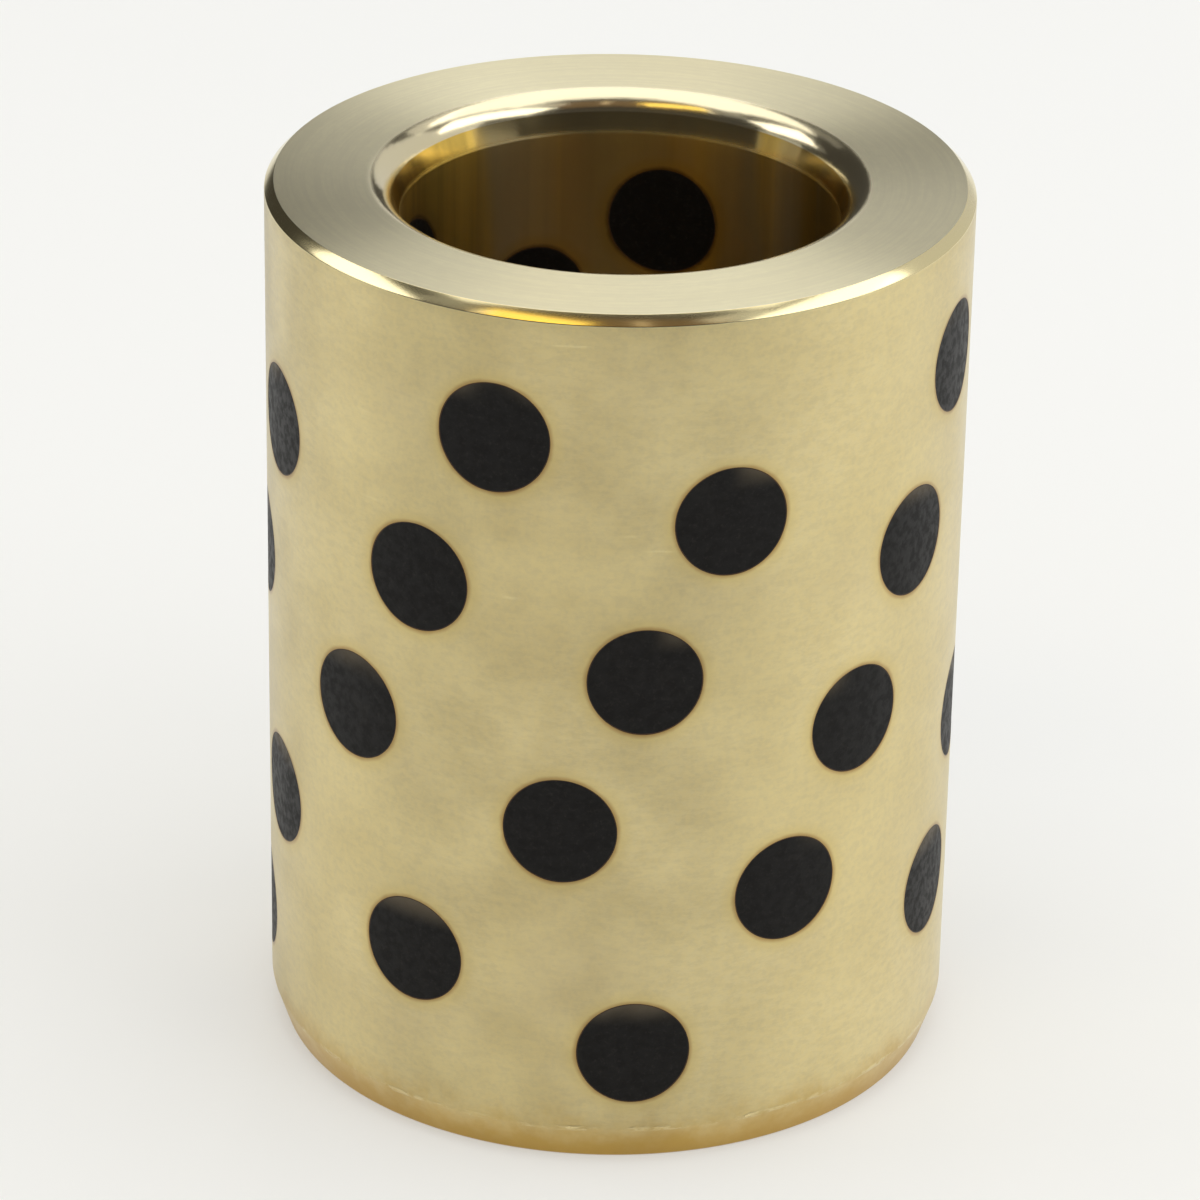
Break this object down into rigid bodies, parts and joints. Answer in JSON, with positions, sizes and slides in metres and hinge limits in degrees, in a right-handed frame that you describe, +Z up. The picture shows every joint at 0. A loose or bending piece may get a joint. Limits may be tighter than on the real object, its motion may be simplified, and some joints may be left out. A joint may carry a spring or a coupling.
{
  "type": "solid-lubricant sleeve bushing",
  "caption": "Plain cylindrical bronze sleeve bushing with flush graphite plugs through its wall, a tapered bore mouth and a press-in lead chamfer.",
  "frame": {"origin": "centre of the bore at the bottom face, the end with the press-in lead chamfer", "axes": "+Z up the bore towards the end with the small chamfer; -Y is the front"},
  "size_m": [0.05, 0.05, 0.0655],
  "materials": {
    "bronze": "satin",
    "graphite": "matte"
  },
  "bodies": {
    "root": {"sleeve": "bronze", "graphite_plug_row1_a": "graphite", "graphite_plug_row1_b": "graphite", "graphite_plug_row1_c": "graphite", "graphite_plug_row1_d": "graphite", "graphite_plug_row2_a": "graphite", "graphite_plug_row2_b": "graphite", "graphite_plug_row2_c": "graphite", "graphite_plug_row2_d": "graphite", "graphite_plug_row3_a": "graphite", "graphite_plug_row3_b": "graphite", "graphite_plug_row3_c": "graphite", "graphite_plug_row3_d": "graphite", "graphite_plug_row4_a": "graphite", "graphite_plug_row4_b": "graphite", "graphite_plug_row4_c": "graphite", "graphite_plug_row4_d": "graphite", "graphite_plug_row5_a": "graphite", "graphite_plug_row5_b": "graphite", "graphite_plug_row5_c": "graphite", "graphite_plug_row5_d": "graphite", "graphite_plug_row6_a": "graphite", "graphite_plug_row6_b": "graphite", "graphite_plug_row6_c": "graphite", "graphite_plug_row6_d": "graphite", "graphite_plug_row7_a": "graphite", "graphite_plug_row7_b": "graphite", "graphite_plug_row7_c": "graphite", "graphite_plug_row7_d": "graphite", "graphite_plug_row8_a": "graphite", "graphite_plug_row8_b": "graphite", "graphite_plug_row8_c": "graphite", "graphite_plug_row8_d": "graphite", "graphite_plug_row9_a": "graphite", "graphite_plug_row9_b": "graphite", "graphite_plug_row9_c": "graphite", "graphite_plug_row9_d": "graphite"}
  },
  "joints": []
}
